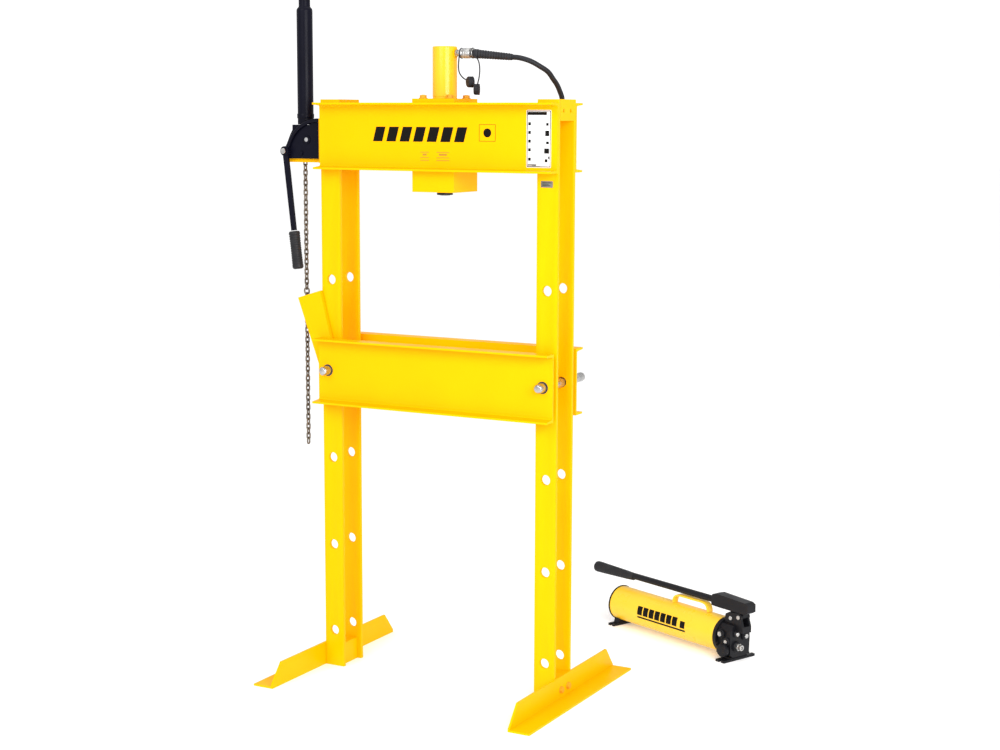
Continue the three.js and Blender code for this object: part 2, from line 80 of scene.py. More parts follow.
# ---------------------------------------------------------------- materials
def new_mat(name):
    mt = bpy.data.materials.new(name)
    mt.use_nodes = True
    nt = mt.node_tree
    return mt, nt, nt.nodes["Principled BSDF"]


def N(nt, kind, **kw):
    n = nt.nodes.new(kind)
    for k, v in kw.items():
        if k in n.inputs:
            n.inputs[k].default_value = v
        else:
            setattr(n, k, v)
    return n


def noise(nt, scale, detail=3.0, rough=0.5, stretch=None):
    tc = N(nt, "ShaderNodeTexCoord")
    mp = N(nt, "ShaderNodeMapping")
    if stretch:
        mp.inputs["Scale"].default_value = stretch
    nt.links.new(tc.outputs["Object"], mp.inputs["Vector"])
    nz = N(nt, "ShaderNodeTexNoise", Scale=scale, Detail=detail, Roughness=rough)
    nt.links.new(mp.outputs["Vector"], nz.inputs["Vector"])
    return nz.outputs["Fac"]


def ramp(nt, src, a, b, c0, c1):
    r = N(nt, "ShaderNodeValToRGB")
    r.color_ramp.elements[0].position, r.color_ramp.elements[1].position = a, b
    r.color_ramp.elements[0].color = (*c0, 1) if len(c0) == 3 else c0
    r.color_ramp.elements[1].color = (*c1, 1) if len(c1) == 3 else c1
    nt.links.new(src, r.inputs["Fac"])
    return r.outputs["Color"]


def maprange(nt, src, lo, hi, a=0.35, b=0.65):
    r = N(nt, "ShaderNodeMapRange")
    r.inputs["From Min"].default_value, r.inputs["From Max"].default_value = a, b
    r.inputs["To Min"].default_value, r.inputs["To Max"].default_value = lo, hi
    nt.links.new(src, r.inputs["Value"])
    return r.outputs["Result"]


def bump(nt, bsdf, src, strength, distance=0.0004):
    b = N(nt, "ShaderNodeBump", Strength=strength, Distance=distance)
    nt.links.new(src, b.inputs["Height"])
    nt.links.new(b.outputs["Normal"], bsdf.inputs["Normal"])


def mix(nt, fac, c0, c1):
    x = N(nt, "ShaderNodeMix", data_type="RGBA")
    nt.links.new(fac, x.inputs[0])
    for sock, c in ((x.inputs[6], c0), (x.inputs[7], c1)):
        if isinstance(c, tuple):
            sock.default_value = (*c, 1)
        else:
            nt.links.new(c, sock)
    return x.outputs[2]


def enamel(name, light, dark, rough=(0.3, 0.42), spec=0.3, peel=0.12, wear=None):
    mt, nt, b = new_mat(name)
    col = ramp(nt, noise(nt, 5.0, 4.0, 0.6), 0.3, 0.7, dark, light)
    if wear:  # thin film at the cut edges shows a little darker
        bev = N(nt, "ShaderNodeBevel", Radius=0.0016)
        bev.samples = 3
        geo = N(nt, "ShaderNodeNewGeometry")
        dot = N(nt, "ShaderNodeVectorMath", operation="DOT_PRODUCT")
        nt.links.new(bev.outputs["Normal"], dot.inputs[0])
        nt.links.new(geo.outputs["True Normal"], dot.inputs[1])
        edge = maprange(nt, dot.outputs["Value"], 1.0, 0.0, 0.72, 0.97)
        chips = maprange(nt, noise(nt, 55, 4, 0.7), 0, 1, 0.47, 0.60)
        mul = N(nt, "ShaderNodeMath", operation="MULTIPLY")
        nt.links.new(edge, mul.inputs[0])
        nt.links.new(chips, mul.inputs[1])
        half = N(nt, "ShaderNodeMath", operation="MULTIPLY")
        nt.links.new(mul.outputs[0], half.inputs[0])
        half.inputs[1].default_value = 0.5
        col = mix(nt, half.outputs[0], col, wear)
    nt.links.new(col, b.inputs["Base Color"])
    nt.links.new(maprange(nt, noise(nt, 14, 3), rough[0], rough[1]), b.inputs["Roughness"])
    b.inputs["Specular IOR Level"].default_value = spec
    bump(nt, b, noise(nt, 420, 2, 0.5), peel, 0.00015)
    return mt


def metal(name, light, dark, rough=(0.2, 0.38), brushed=None, metallic=0.95):
    mt, nt, b = new_mat(name)
    src = noise(nt, 60, 5, 0.6, brushed) if brushed else noise(nt, 45, 5, 0.6)
    nt.links.new(ramp(nt, src, 0.3, 0.72, dark, light), b.inputs["Base Color"])
    b.inputs["Metallic"].default_value = metallic
    nt.links.new(maprange(nt, noise(nt, 90, 4), rough[0], rough[1]), b.inputs["Roughness"])
    bump(nt, b, noise(nt, 600, 3, 0.6, brushed), 0.12, 0.0001)
    return mt


def rubber(name, light, dark, rough=(0.5, 0.68), scale=900, strength=0.3):
    mt, nt, b = new_mat(name)
    nt.links.new(ramp(nt, noise(nt, 30, 4, 0.6), 0.3, 0.7, dark, light), b.inputs["Base Color"])
    nt.links.new(maprange(nt, noise(nt, 24, 3), rough[0], rough[1]), b.inputs["Roughness"])
    b.inputs["Specular IOR Level"].default_value = 0.25
    bump(nt, b, noise(nt, scale, 3, 0.6), strength, 0.0002)
    return mt


YEL = enamel("press_yellow_enamel", (0.96, 0.475, 0.0), (0.93, 0.45, 0.0), (0.3, 0.42), 0.05, 0.10, wear=(0.42, 0.20, 0.02))
PYEL = enamel("pump_yellow_enamel", (0.93, 0.58, 0.03), (0.90, 0.55, 0.026), (0.26, 0.36), 0.35, 0.10)
BLK = enamel("black_enamel", (0.005, 0.005, 0.012), (0.003, 0.003, 0.008), (0.28, 0.38), 0.09, 0.15)
CAST = enamel("black_cast_enamel", (0.010, 0.010, 0.012), (0.005, 0.005, 0.007), (0.34, 0.5), 0.18, 0.9)
ZINC = metal("bright_zinc", (0.62, 0.61, 0.59), (0.36, 0.36, 0.36))
STEEL = metal("ground_steel", (0.66, 0.66, 0.67), (0.48, 0.48, 0.49), (0.18, 0.32), (1, 1, 18))
DARK = metal("oiled_steel", (0.10, 0.10, 0.105), (0.05, 0.05, 0.055), (0.35, 0.5))
CHAIN = metal("chain_passivated", (0.27, 0.23, 0.18), (0.11, 0.09, 0.07), (0.3, 0.5))
RUB = rubber("black_rubber", (0.020, 0.021, 0.025), (0.011, 0.011, 0.014))
HOSEM = rubber("hose_rubber", (0.014, 0.015, 0.019), (0.008, 0.008, 0.011), (0.42, 0.55), 1400, 0.4)
GRIP = rubber("grip_plastic", (0.018, 0.018, 0.020), (0.010, 0.010, 0.012), (0.42, 0.6), 700, 0.45)
PAPER = enamel("label_white", (0.86, 0.87, 0.88), (0.80, 0.81, 0.82), (0.4, 0.5), 0.3, 0.02)
INK = enamel("label_ink", (0.005, 0.004, 0.003), (0.003, 0.003, 0.002), (0.45, 0.55), 0.1, 0.02)
GREYINK = enamel("label_grey", (0.45, 0.46, 0.47), (0.38, 0.39, 0.40), (0.4, 0.5), 0.3, 0.02)
OLIVE = enamel("faint_marking", (0.50, 0.27, 0.02), (0.42, 0.22, 0.02), (0.4, 0.5), 0.2, 0.02)
PLATE = metal("name_plate_alloy", (0.28, 0.28, 0.25), (0.20, 0.20, 0.18), (0.35, 0.5), (1, 1, 12))


CYLY = enamel("cylinder_enamel", (0.96, 0.49, 0.012), (0.93, 0.465, 0.010), (0.2, 0.3), 0.35, 0.06)
BOLTY = enamel("painted_bolt", (0.72, 0.36, 0.02), (0.55, 0.27, 0.02), (0.35, 0.5), 0.2, 0.2)


# ---------------------------------------------------------------- mesh building
def obj_of(name, verts, faces, mat, body, M=I4, smooth=32, bevel=0.0, segs=2, reps=(), slot=None, extra=None):
    me = bpy.data.meshes.new(name)
    me.from_pydata([P(*(M @ Vector(v))) for v in verts], [], faces)
    bm = bmesh.new()
    bm.from_mesh(me)
    bmesh.ops.remove_doubles(bm, verts=bm.verts, dist=1e-6)
    bmesh.ops.recalc_face_normals(bm, faces=bm.faces)
    bm.to_mesh(me)
    bm.free()
    for p in me.polygons:
        p.use_smooth = True
    me.set_sharp_from_angle(angle=rad(smooth))
    ob = bpy.data.objects.new(name, me)
    bpy.context.scene.collection.objects.link(ob)
    me.materials.append(mat)
    if bevel:
        add_bevel(ob, bevel, segs)
    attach(ob, body)
    if reps:
        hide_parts(*reps)
    return ob


def add_bevel(ob, mm, segs=2, angle=30):
    mod = ob.modifiers.new("edges", "BEVEL")
    mod.width, mod.segments, mod.limit_method, mod.angle_limit = mm / 1000, segs, "ANGLE", rad(angle)
    mod.harden_normals = True
    return mod


def lathe(profile, seg=64):
    """Vertices and faces of a profile of (radius, z) turned about z. It starts and ends on the axis, or closes on itself."""
    prof = profile[:-1] if profile[0] == profile[-1] else profile
    loop = profile[0] == profile[-1]
    V, F, rings = [], [], []
    for r, z in prof:
        if r < 1e-6:
            rings.append([len(V)])
            V.append((0, 0, z))
        else:
            b = len(V)
            rings.append(list(range(b, b + seg)))
            V += [(r * math.cos(2 * math.pi * i / seg), r * math.sin(2 * math.pi * i / seg), z) for i in range(seg)]
    pairs = list(zip(rings, rings[1:])) + ([(rings[-1], rings[0])] if loop else [])
    for a, b in pairs:
        for i in range(seg):
            j = (i + 1) % seg
            if len(a) == 1 and len(b) == 1:
                break
            if len(a) == 1:
                F.append((a[0], b[i], b[j]))
            elif len(b) == 1:
                F.append((a[i], a[j], b[0]))
            else:
                F.append((a[i], a[j], b[j], b[i]))
    return V, F


def spline(points, n):
    """n points evenly spaced along a centripetal Catmull-Rom curve."""
    pts = [Vector(p) for p in points]
    pts = [pts[0] * 2 - pts[1]] + pts + [pts[-1] * 2 - pts[-2]]
    out = []
    for k in range(1, len(pts) - 2):
        p0, p1, p2, p3 = pts[k - 1:k + 3]
        t0 = 0.0
        t1 = t0 + max((p1 - p0).length, 1e-6) ** 0.5
        t2 = t1 + max((p2 - p1).length, 1e-6) ** 0.5
        t3 = t2 + max((p3 - p2).length, 1e-6) ** 0.5
        for i in range(24):
            t = t1 + (t2 - t1) * i / 24
            a1 = p0 * ((t1 - t) / (t1 - t0)) + p1 * ((t - t0) / (t1 - t0))
            a2 = p1 * ((t2 - t) / (t2 - t1)) + p2 * ((t - t1) / (t2 - t1))
            a3 = p2 * ((t3 - t) / (t3 - t2)) + p3 * ((t - t2) / (t3 - t2))
            b1 = a1 * ((t2 - t) / (t2 - t0)) + a2 * ((t - t0) / (t2 - t0))
            b2 = a2 * ((t3 - t) / (t3 - t1)) + a3 * ((t - t1) / (t3 - t1))
            out.append(b1 * ((t2 - t) / (t2 - t1)) + b2 * ((t - t1) / (t2 - t1)))
    out.append(pts[-2])
    L = [0.0]
    for a, b in zip(out, out[1:]):
        L.append(L[-1] + (b - a).length)
    res, k = [], 0
    for i in range(n):
        s = L[-1] * i / (n - 1)
        while k < len(L) - 2 and L[k + 1] < s:
            k += 1
        f = (s - L[k]) / max(L[k + 1] - L[k], 1e-9)
        res.append(out[k].lerp(out[k + 1], min(max(f, 0), 1)))
    return res, L[-1]


def sweep(pts, radius, sides=16, closed=False):
    """A tube along points; radius is a number or a function of the share of the way along."""
    V, F, n = [], [], len(pts)
    tang = []
    for i in range(n):
        a = pts[i - 1] if (i or closed) else pts[0]
        b = pts[(i + 1) % n] if (i < n - 1 or closed) else pts[-1]
        tang.append((b - a).normalized())
    ref = Vector((0, 1, 0)) if abs(tang[0].y) < 0.9 else Vector((1, 0, 0))
    u = (ref - tang[0] * ref.dot(tang[0])).normalized()
    for i in range(n):
        if i:
            u = (u - tang[i] * u.dot(tang[i])).normalized()
        w = tang[i].cross(u)
        r = radius(i / (n - 1)) if callable(radius) else radius
        V += [tuple(pts[i] + (u * math.cos(2 * math.pi * k / sides) + w * math.sin(2 * math.pi * k / sides)) * r) for k in range(sides)]
    for i in range(n if closed else n - 1):
        for k in range(sides):
            j, l = (k + 1) % sides, (i + 1) % n
            F.append((i * sides + k, i * sides + j, l * sides + j, l * sides + k))
    if not closed:
        F.append(tuple(range(sides))[::-1])
        F.append(tuple((n - 1) * sides + k for k in range(sides)))
    return V, F


def prism(pts, a, b, plane):
    """An outline pushed from a to b. plane xz runs along y, yz along x, xy along z."""
    put = {"xz": lambda p, h: (p[0], h, p[1]), "yz": lambda p, h: (h, p[0], p[1]), "xy": lambda p, h: (p[0], p[1], h)}[plane]
    n = len(pts)
    V = [put(p, a) for p in pts] + [put(p, b) for p in pts]
    F = [tuple(range(n)), tuple(range(2 * n - 1, n - 1, -1))] + [(i, (i + 1) % n, n + (i + 1) % n, n + i) for i in range(n)]
    return V, F


def boxv(x0, x1, y0, y1, z0, z1):
    return prism([(x0, y0), (x1, y0), (x1, y1), (x0, y1)], z0, z1, "xy")


def moved(vf, M):
    return [tuple(M @ Vector(v)) for v in vf[0]], vf[1]


def joined(*vfs):
    V, F = [], []
    for v, f in vfs:
        o = len(V)
        V += list(v)
        F += [tuple(i + o for i in face) for face in f]
    return V, F


def hexv(af, z0, z1, cham=1.0):
    """A hexagon nut or head with a chamfered top, across flats af."""
    r = af / math.sqrt(3)
    V, F = [], []
    rings = [(r, z0), (r, z1 - cham * 0.55), (r - cham, z1)]
    for rr, z in rings:
        V += [(rr * math.cos(rad(60 * i + 30)), rr * math.sin(rad(60 * i + 30)), z) for i in range(6)]
    F.append(tuple(range(6))[::-1])
    for q in (0, 6):
        F += [(q + i, q + (i + 1) % 6, q + 6 + (i + 1) % 6, q + 6 + i) for i in range(6)]
    F.append(tuple(range(12, 18)))
    return V, F


def circle(cx, cy, r, n=56):
    return [(cx + r * math.cos(2 * math.pi * i / n), cy + r * math.sin(2 * math.pi * i / n)) for i in range(n)]


def plate(name, loops, thick, bevel, M, mat, body, reps=(), slot=None):
    """A plate with real round holes and eased edges, from outlines in a plane."""
    cu = bpy.data.curves.new(name + "_outline", "CURVE")
    cu.dimensions, cu.fill_mode = "2D", "BOTH"
    cu.extrude, cu.bevel_depth, cu.bevel_resolution, cu.offset = thick / 2000 - bevel / 1000, bevel / 1000, 2, -bevel / 1000
    for lp in loops:
        sp = cu.splines.new("POLY")
        sp.points.add(len(lp) - 1)
        for p, (x, y) in zip(sp.points, lp):
            p.co = (x / 1000, y / 1000, 0, 1)
        sp.use_cyclic_u = True
    tmp = bpy.data.objects.new(name + "_tmp", cu)
    bpy.context.scene.collection.objects.link(tmp)
    dg = bpy.context.evaluated_depsgraph_get()
    me = bpy.data.meshes.new_from_object(tmp.evaluated_get(dg))
    V = [tuple(v.co * 1000) for v in me.vertices]
    F = [tuple(p.vertices) for p in me.polygons]
    bpy.data.objects.remove(tmp)
    bpy.data.curves.remove(cu)
    bpy.data.meshes.remove(me)
    return obj_of(name, V, F, mat, body, M, 28, reps=reps, slot=slot)


def front(y, t):
    """Matrix for a plate drawn in x and z, its middle at y."""
    return T(0, y, 0) @ Matrix(((1, 0, 0, 0), (0, 0, -1, 0), (0, 1, 0, 0), (0, 0, 0, 1)))


def rounded(x0, x1, y0, y1, r, n=6):
    pts = []
    for cx, cy, a in ((x1 - r, y1 - r, 0), (x0 + r, y1 - r, 90), (x0 + r, y0 + r, 180), (x1 - r, y0 + r, 270)):
        pts += [(cx + r * math.cos(rad(a + 90 * i / n)), cy + r * math.sin(rad(a + 90 * i / n))) for i in range(n + 1)]
    return pts


# ---------------------------------------------------------------- oil hose (a free cord), first
PORT_Z = 1937
G0 = Vector((101.5, 0, PORT_Z - 2.6))
GD = Vector((math.cos(rad(5.2)), 0, -math.sin(rad(5.2))))
HOSE = [
    tuple(G0 + GD * 128.4), tuple(G0 + GD * 150), (283.1, 8, 1911.4), (307.4, 25, 1895.7), (323.8, 45, 1880.1), (329.9, 66, 1860.1),
    (333.3, 86, 1843), (334.5, 104, 1822.7), (334.4, 118, 1803.8), (328.2, 128, 1769.9), (320.6, 134, 1725.5), (312.6, 138, 1651),
    (306, 140, 1531.1), (305, 140, 1380), (305, 140, 1250), (305, 140, 1120), (305, 140, 990), (305, 140, 860), (305, 140, 730),
    (305, 140, 600), (305, 140, 450), (305, 140, 317),
]
hp, hlen = spline(HOSE, 260)
hose = obj_of("oil_hose", *sweep(hp, 7.75, 24), HOSEM, "frame", smooth=60, reps=("hose",), slot="black_rubber")

# spring-like ribbed guard over the hose's end
prof = [(0, 0.2), (13.0, 0.2), (13.9, 1.2), (13.9, 13), (13.0, 14.6)]
z = 16.0
while z < 117:
    r = 13.2 - (z - 16) / 105 * 2.9
    prof += [(r - 2.3, z), (r - 0.5, z + 1.4), (r, z + 3.6), (r - 0.5, z + 5.8), (r - 2.3, z + 7.2)]
    z += 8.8
prof += [(9.7, 122.5), (9.5, 126), (8.8, 127.8), (0, 127.9)]
guard = obj_of("hose_bend_guard", *lathe(prof, 40), RUB, "frame", T(*G0) @ Matrix.Rotation(rad(5.2), 4, "Y") @ AXX, 50, reps=("hose_guard",), slot="black_rubber")

end = [(0, 316.3), (8, 316.3), (9, 315), (9, 308), (8.2, 307), (8.2, 304), (9, 303), (9, 292.4), (11.5, 291.6), (13.2, 290)]
z = 288.5
while z > 270:
    end += [(13.4, z), (12.7, z - 0.9), (13.4, z - 1.8)]
    z -= 2.6
end += [(13.2, 268.4), (12.2, 267.2), (10.8, 266), (10.8, 251.2), (9.8, 250.2), (6, 250.2), (5.2, 251), (5.2, 262), (0, 262)]
hose_end = obj_of("hose_end_coupling", *lathe(end, 48), ZINC, "frame", T(305, 140, 0), 30, reps=("hose_end_coupler",), slot="bright_zinc")

# ---------------------------------------------------------------- uprights with round pin holes
HOLES = [117 + 281.8 * k for k in range(5)]
for side, x0 in (("left", -410), ("right", 342)):
    for where, y in (("front", -58 + 6.35), ("rear", 58 - 6.35)):
        loops = [[(x0, 0), (x0 + 68, 0), (x0 + 68, 1800), (x0, 1800)]] + [circle(x0 + 34, h, 15.5) for h in HOLES]
        plate(f"{side}_{where}_bar", loops, 12.7, 1.0, front(y, 12.7), YEL, "frame", (f"upright_{side}_{where}_bar",), "frame_yellow")

for name, mm in {
    "top_spacer_left": 0.8, "top_spacer_right": 0.8, "foot_spacer_left": 1, "foot_spacer_right": 1, "bed_tie_left": 0.8, "bed_tie_right": 0.8,
    "beam_channel_front": 1.2, "beam_channel_rear": 1.2, "bed_channel_front": 1.2, "bed_channel_rear": 1.2, "foot_left": 1.0, "foot_right": 1.0,
    "cylinder_clamp_plate": 1.0, "cylinder_mount_block": 1.2, "lift_arm_front": 1.0, "lift_arm_rear": 1.0, "hoist_bracket": 1.0,
}.items():
    o = nodes[name]
    o.data.materials.clear()
    o.data.materials.append(YEL)
    add_bevel(o, mm, 2)
for name, mt, mm in (
    ("cylinder_gland", STEEL, 0), ("ram_rod", STEEL, 0), ("return_spring", STEEL, 0), ("lift_arm_rod", ZINC, 0.6),
    ("hoist_housing", BLK, 2.2), ("chain_wheel", STEEL, 0), ("hoist_lever", BLK, 1.6), ("lift_hook", CHAIN, 1.5), ("pump_head", CAST, 1.6),
    ("pump_plunger", ZINC, 0), ("pump_handle", CAST, 2.0), ("pump_foot_head", CAST, 1.2), ("pump_foot_rear", CAST, 1.2),
):
    o = nodes[name]
    o.data.materials.clear()
    o.data.materials.append(mt)
    if mm:
        add_bevel(o, mm, 3)

# ---------------------------------------------------------------- bed pins
for side, x in (("left", -376), ("right", 376)):
    pz = 117 + 3 * 281.8 - 0.9
    pr = [(0, -115), (9.0, -115), (10.6, -114.2), (13.4, -110.4), (14, -108.6), (14, 180.2), (13.2, 182), (12, 183), (0, 183)]
    obj_of(f"{side}_bed_pin", *lathe(pr, 56), ZINC, f"{side}_bed_pin", T(x, 0, pz) @ AXY, 28, reps=(f"bed_pin_{side}",), slot="bright_zinc")

# Painted shade: thin dark rings at each bed pin stand for the shade in the gap round the pin, not a real part.
for side, x in (("left", -376), ("right", 376)):
    ring = lathe([(14.3, -0.6), (18.4, -0.6), (18.4, 0.0), (14.3, 0.0), (14.3, -0.6)], 56)
    obj_of(f"{side}_pin_hole_shadow_ring", *moved(ring, AXY), DARK, "frame", T(x, -81.55, 117 + 3 * 281.8 - 0.9), 30, slot="dark_steel")

# ---------------------------------------------------------------- foot bolts and nuts, clamp bolts
for s in (-1, 1):
    for y in (-24, 24):
        M = T(s * (410.3 + 6.4), y, 33) @ (AXX if s > 0 else AXX @ Matrix.Rotation(rad(180), 4, "X"))
        wash = lathe([(0, 0.1), (10.4, 0.1), (10.8, 0.5), (10.8, 1.6), (10.4, 2.0), (0, 2.0)], 32)
        obj_of(f"foot_bolt_{'r' if s > 0 else 'l'}_{'front' if y < 0 else 'rear'}", *joined(wash, hexv(17, 2.0, 8.4)), BOLTY, "frame", M, 30, slot="frame_yellow")
for k, (x, y) in enumerate(((-46, -50), (46, -50), (-46, 50), (46, 50))):
    washer = lathe([(0, 1802.2), (12.6, 1802.2), (13, 1802.6), (13, 1804.2), (12.6, 1804.6), (0, 1804.6)], 36)
    head = hexv(18, 1804.6, 1812.6, 1.2)
    tip = lathe([(0, 1812), (5.6, 1812), (5.6, 1812.9), (5.0, 1813.6), (0, 1813.7)], 24)
    shank = lathe([(0, 1526), (5.6, 1526), (5.6, 1802.4), (0, 1802.4)], 24)
    obj_of(f"clamp_bolt_{k + 1}_hex", *joined(washer, head, tip, shank), BOLTY, "frame", T(x, y, 0), 30, reps=(f"clamp_bolt_{k + 1}",), slot="frame_yellow")

# ---------------------------------------------------------------- cylinder, saddle, nipple, coupler
cyl = [(28, 1540), (36.2, 1540), (37, 1541), (37, 1804.5), (36.2, 1805.4), (36.2, 1807.6), (37, 1808.5), (37, 1953.4), (36.4, 1955.4), (34.8, 1956.8), (12, 1957), (11.4, 1956.3), (0, 1956.3),
       (0, 1931), (22, 1931), (22, 1925), (28, 1925), (28, 1540)]
V, F = lathe([(28, 1540), (36.2, 1540), (37, 1541), (37, 1804.5), (36.2, 1805.4), (36.2, 1807.6), (37, 1808.5), (37, 1953.4), (36.4, 1955.4), (34.8, 1956.8), (33, 1957), (0, 1957)], 96)
outer = (V, F)
V2, F2 = lathe([(0, 1931), (22, 1931), (22, 1925), (28, 1925), (28, 1540)], 96)
barrel_vf = joined(outer, (V2, F2))
obj_of("cylinder_body", *barrel_vf, CYLY, "frame", I4, 30, reps=("cylinder_barrel",), slot="frame_yellow")
boss = lathe([(0, 35.5), (15, 35.5), (15, 37.8), (14.2, 38.6), (0, 38.6)], 40)
obj_of("port_boss", *boss, YEL, "frame", T(0, 0, PORT_Z) @ AXX, 30, slot="frame_yellow")
obj_of("port_nipple_hex", *moved(joined(hexv(19, 39.4, 46, 1.0), lathe([(0, 38.8), (8.2, 38.8), (8.2, 40), (0, 40)], 24), lathe([(0, 45.8), (7.6, 45.8), (8.4, 46.6), (8.4, 51.2), (7.8, 51.6), (0, 51.6)], 24)), AXX), ZINC, "frame", T(0, 0, PORT_Z), 30,
       reps=("port_nipple",), slot="bright_zinc")
body = [(0, 52.1), (11, 52.1), (12, 52.6), (14, 54), (14.5, 54.8), (14.5, 57), (13.8, 57.6), (13.8, 59.2), (14.5, 59.8), (14.5, 62.4), (13.6, 63.8), (12, 65), (12, 90), (13.4, 91.4), (14, 92.4), (14, 98.6), (13.4, 99.5), (0, 99.6)]
obj_of("coupler_half_body", *lathe(body, 48), ZINC, "frame", T(0, 0, PORT_Z - 1) @ AXX, 30, reps=("coupler_body",), slot="bright_zinc")
# screw collar with knurled bands
V, F = [], []
zs = [66, 67.2, 67.8, 72.6, 73.2, 74.2, 74.8, 81, 81.6, 82.6, 83.2, 88, 88.6, 89.5]
rs = [14.4, 15.4, 15.8, 15.8, 15.2, 15.2, 15.8, 15.8, 15.2, 15.2, 15.8, 15.8, 15.4, 14.4]
seg = 72
for zz, rr in zip(zs, rs):
    for i in range(seg):
        q = rr - (0.55 if (i % 3 == 0 and rr > 15.6) else 0)
        V.append((q * math.cos(2 * math.pi * i / seg), q * math.sin(2 * math.pi * i / seg), zz))
for zz in (89.5, 66):
    for i in range(seg):
        V.append((12.7 * math.cos(2 * math.pi * i / seg), 12.7 * math.sin(2 * math.pi * i / seg), zz))
nr = len(zs) + 2
for k in range(nr):
    for i in range(seg):
        j, l = (i + 1) % seg, (k + 1) % nr
        F.append((k * seg + i, k * seg + j, l * seg + j, l * seg + i))
obj_of("coupler_screw_collar", V, F, ZINC, "coupler_collar", T(0, 0, PORT_Z - 1) @ AXX, 25, reps=("coupler_collar",), slot="bright_zinc")

# dust caps: ring round the coupler, thin strap, ribbed cap
def dust_cap(name, strap, c, tilt, ringx, node):
    sp, _ = spline(strap, 40)
    ringpts = [Vector((ringx, 15.0 * math.cos(2 * math.pi * i / 40), PORT_Z - 1 + 15.0 * math.sin(2 * math.pi * i / 40))) for i in range(40)]
    ring = sweep(ringpts, 1.3, 10, closed=True)
    body = lathe([(0, -8.6), (13.2, -8.6), (14.6, -7.8), (15.2, -6.4), (15.2, 5.4), (16.6, 6.0), (16.6, 8.2), (15.4, 8.8), (10, 8.8), (9.2, 7.6), (9.2, -3), (0, -3)], 40)
    body = moved(body, T(*c) @ Matrix.Rotation(tilt, 4, "Z") @ AXX)
    ribs = []
    for i in range(14):
        a = 2 * math.pi * i / 14
        rb = moved(boxv(14.6, 16.2, -1.3, 1.3, -6.0, 5.2), Matrix.Rotation(a, 4, "Z"))
        ribs.append(moved(rb, T(*c) @ Matrix.Rotation(tilt, 4, "Z") @ AXX))
    obj_of(name, *joined(sweep(sp, 1.9, 12), body, *ribs), RUB, "frame", I4, 35, reps=(node,), slot="black_rubber")
    obj_of(name + "_ring", *ring, RUB, "frame", I4, 60, slot="black_rubber")

dust_cap("dust_cap_a", [(58.4, -15.6, 1931), (57.2, -15, 1922), (56, -14.5, 1911), (55.5, -15, 1897), (58.5, -16, 1880), (69, -17, 1866), (81, -17, 1858), (92, -17, 1853)], (96, -17, 1851), 0.9, 58.4, "dust_cap_left")
dust_cap("dust_cap_b", [(108, -14.5, 1928), (118, -16, 1921), (126, -18.5, 1910), (131.5, -22, 1888), (130, -24, 1862), (126, -25, 1845), (125, -25, 1836)], (123, -25, 1829), 0.4, 96.2, "dust_cap_right")

sad = [(0, 1512.6), (14.5, 1512.6), (15.4, 1513.2), (16.4, 1513.9), (22.6, 1514.0), (24.2, 1514.6), (24.5, 1515.4)]
z = 1515.8
while z < 1520.6:
    sad += [(24.5, z), (23.9, z + 0.4), (24.5, z + 0.8)]
    z += 1.2
sad += [(24.3, 1521.4), (23, 1522.9), (0, 1522.9)]
obj_of("ram_saddle_turned", *lathe(sad, 64), DARK, "ram", I4, 25, reps=("ram_saddle",), slot="dark_steel")
seal = lathe([(22.9, 1523.4), (31, 1523.4), (31, 1524.2), (22.9, 1524.2), (22.9, 1523.4)], 56)
obj_of("wiper_seal", *seal, RUB, "frame", I4, 30, slot="black_rubber")

# ---------------------------------------------------------------- hoist: store tube, housing rib, pins, lever, chain
tube = [(21.5, 1722.8), (24.4, 1722.8), (25, 1723.6), (25, 2073), (24.6, 2076.5), (23.4, 2079.6), (21, 2082.4), (18.6, 2085), (18, 2087.5), (18, 2115.6), (17.4, 2118.6), (15.6, 2121.2), (12.6, 2122.6), (9, 2123), (0, 2123)]
inner = [(0, 2117), (14, 2117), (14, 2082), (21.5, 2076), (21.5, 1722.8)]
obj_of("chain_store_tube", *joined(lathe(tube, 72), lathe(inner, 72)), BLK, "frame", T(-504, 0, 0), 32, reps=("chain_tube",), slot="black_paint")
band = lathe([(25.1, 1742), (26.4, 1742), (26.8, 1742.8), (26.8, 1755), (26.4, 1755.8), (25.1, 1755.8), (25.1, 1742)], 72)
obj_of("tube_clamp_band", *band, BLK, "frame", T(-504, 0, 0), 30, slot="black_paint")
rib_pts = [(-424, -38, 1736), (-446, -38, 1735.5), (-470, -38, 1730), (-492, -38, 1720), (-512, -38, 1706), (-527, -38, 1690), (-539, -38, 1670), (-547, -38, 1652)]
sp, _ = spline(rib_pts, 48)
obj_of("housing_front_rib", *sweep(sp, lambda t: 5.8 - 0.8 * t, 18), BLK, "frame", I4, 60, slot="black_paint")
for k, (x, z) in enumerate(((-436, 1722), (-436, 1634), (-500, 1634), (-479, 1676))):
    r = 13 if k == 3 else 6.5
    cap = lathe([(0, -32.2), (r, -32.2), (r, -35.4), (r - 1.2, -36.4), (0, -36.6)], 32) if k == 3 else None
    hx = moved(hexv(12, 0, 4.6, 0.8), T(x, -32.1, z) @ Matrix.Rotation(rad(90), 4, "X"))
    vf = moved(cap, T(x, 0, z) @ AXY) if k == 3 else hx
    if k == 3:
        # open ring round the chain wheel's axle end
        vf = moved(lathe([(7.4, -32.2), (r, -32.2), (r, -35.2), (r - 1.0, -36.0), (7.4, -36.0), (7.4, -32.2)], 40), T(x, 0, z) @ AXY)
    obj_of(f"housing_fastener_{k + 1}", *vf, BLK, "frame", I4, 30, slot="black_paint")
pv = [(0, -32.8), (5.9, -32.8), (5.9, -53.6), (8.6, -53.9), (9, -54.6), (9, -57.6), (8.2, -58.8), (0, -59)]
obj_of("hoist_pivot_stud", *lathe(pv, 36), ZINC, "frame", T(-553, 0, 1640) @ AXY, 30, reps=("hoist_pivot_pin",), slot="bright_zinc")
grip = [(0, -371.8), (12, -371.8), (15, -370), (17.4, -366.5)]
z = -362.0
